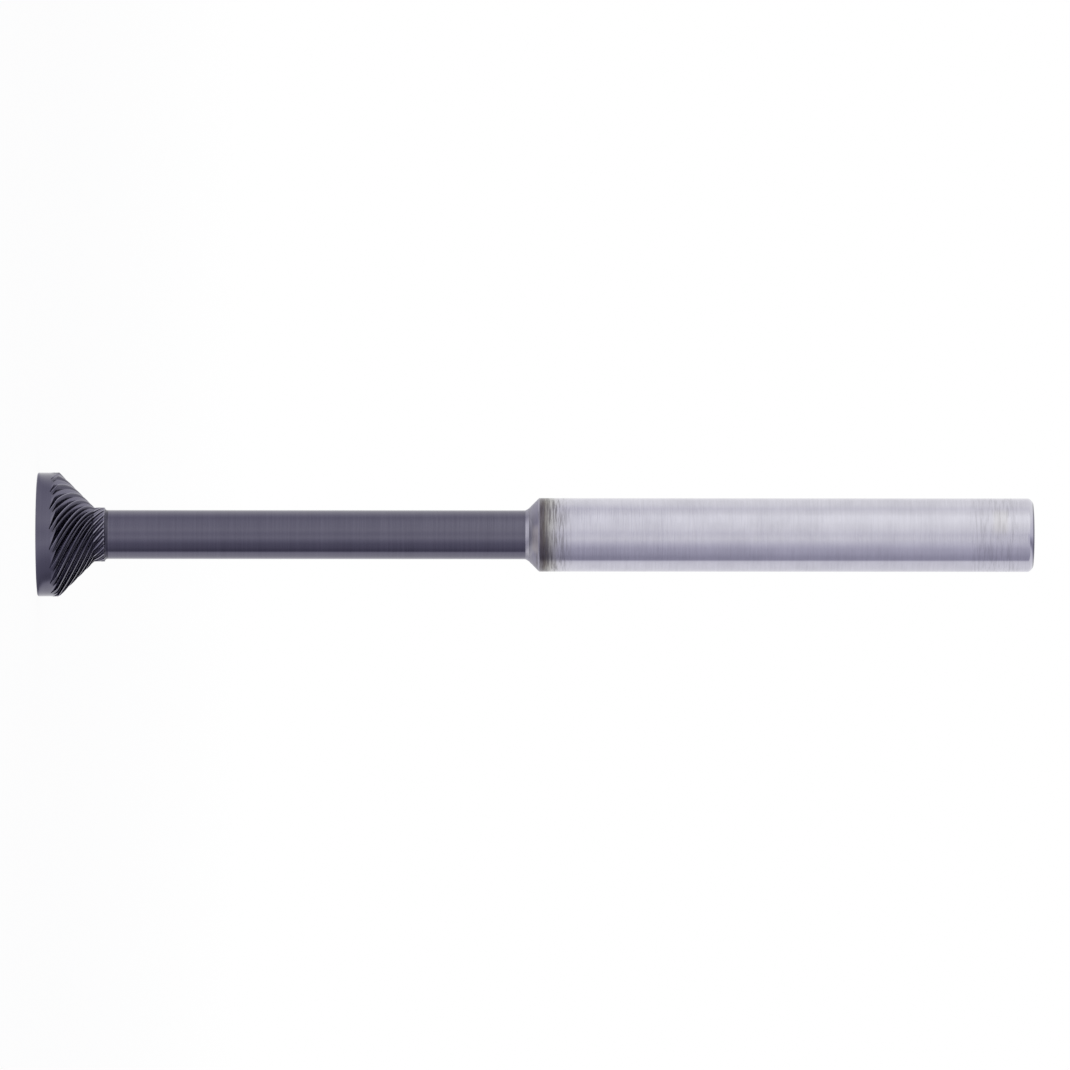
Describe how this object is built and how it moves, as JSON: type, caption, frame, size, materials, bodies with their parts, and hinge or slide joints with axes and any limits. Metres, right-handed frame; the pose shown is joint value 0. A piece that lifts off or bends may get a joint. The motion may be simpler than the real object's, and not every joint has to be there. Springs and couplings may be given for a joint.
{
  "type": "rotary burr",
  "caption": "Carbide rotary burr with a spiral-toothed back taper behind a plain rim, on a thin neck brazed into a plain steel shank.",
  "frame": {"origin": "centre of the flat front face of the head, which the burr stands on", "axes": "+Z along the tool's axis from the head to the shank's end; X and Y square to it, turned so that the picture's side faces -Y"},
  "size_m": [0.01, 0.01, 0.0812],
  "materials": {
    "carbide": "ground",
    "steel": "ground",
    "braze": "as flowed"
  },
  "bodies": {
    "root": {"carbide_cutter": "carbide", "steel_shank": "steel", "braze_joint": "braze"}
  },
  "joints": []
}
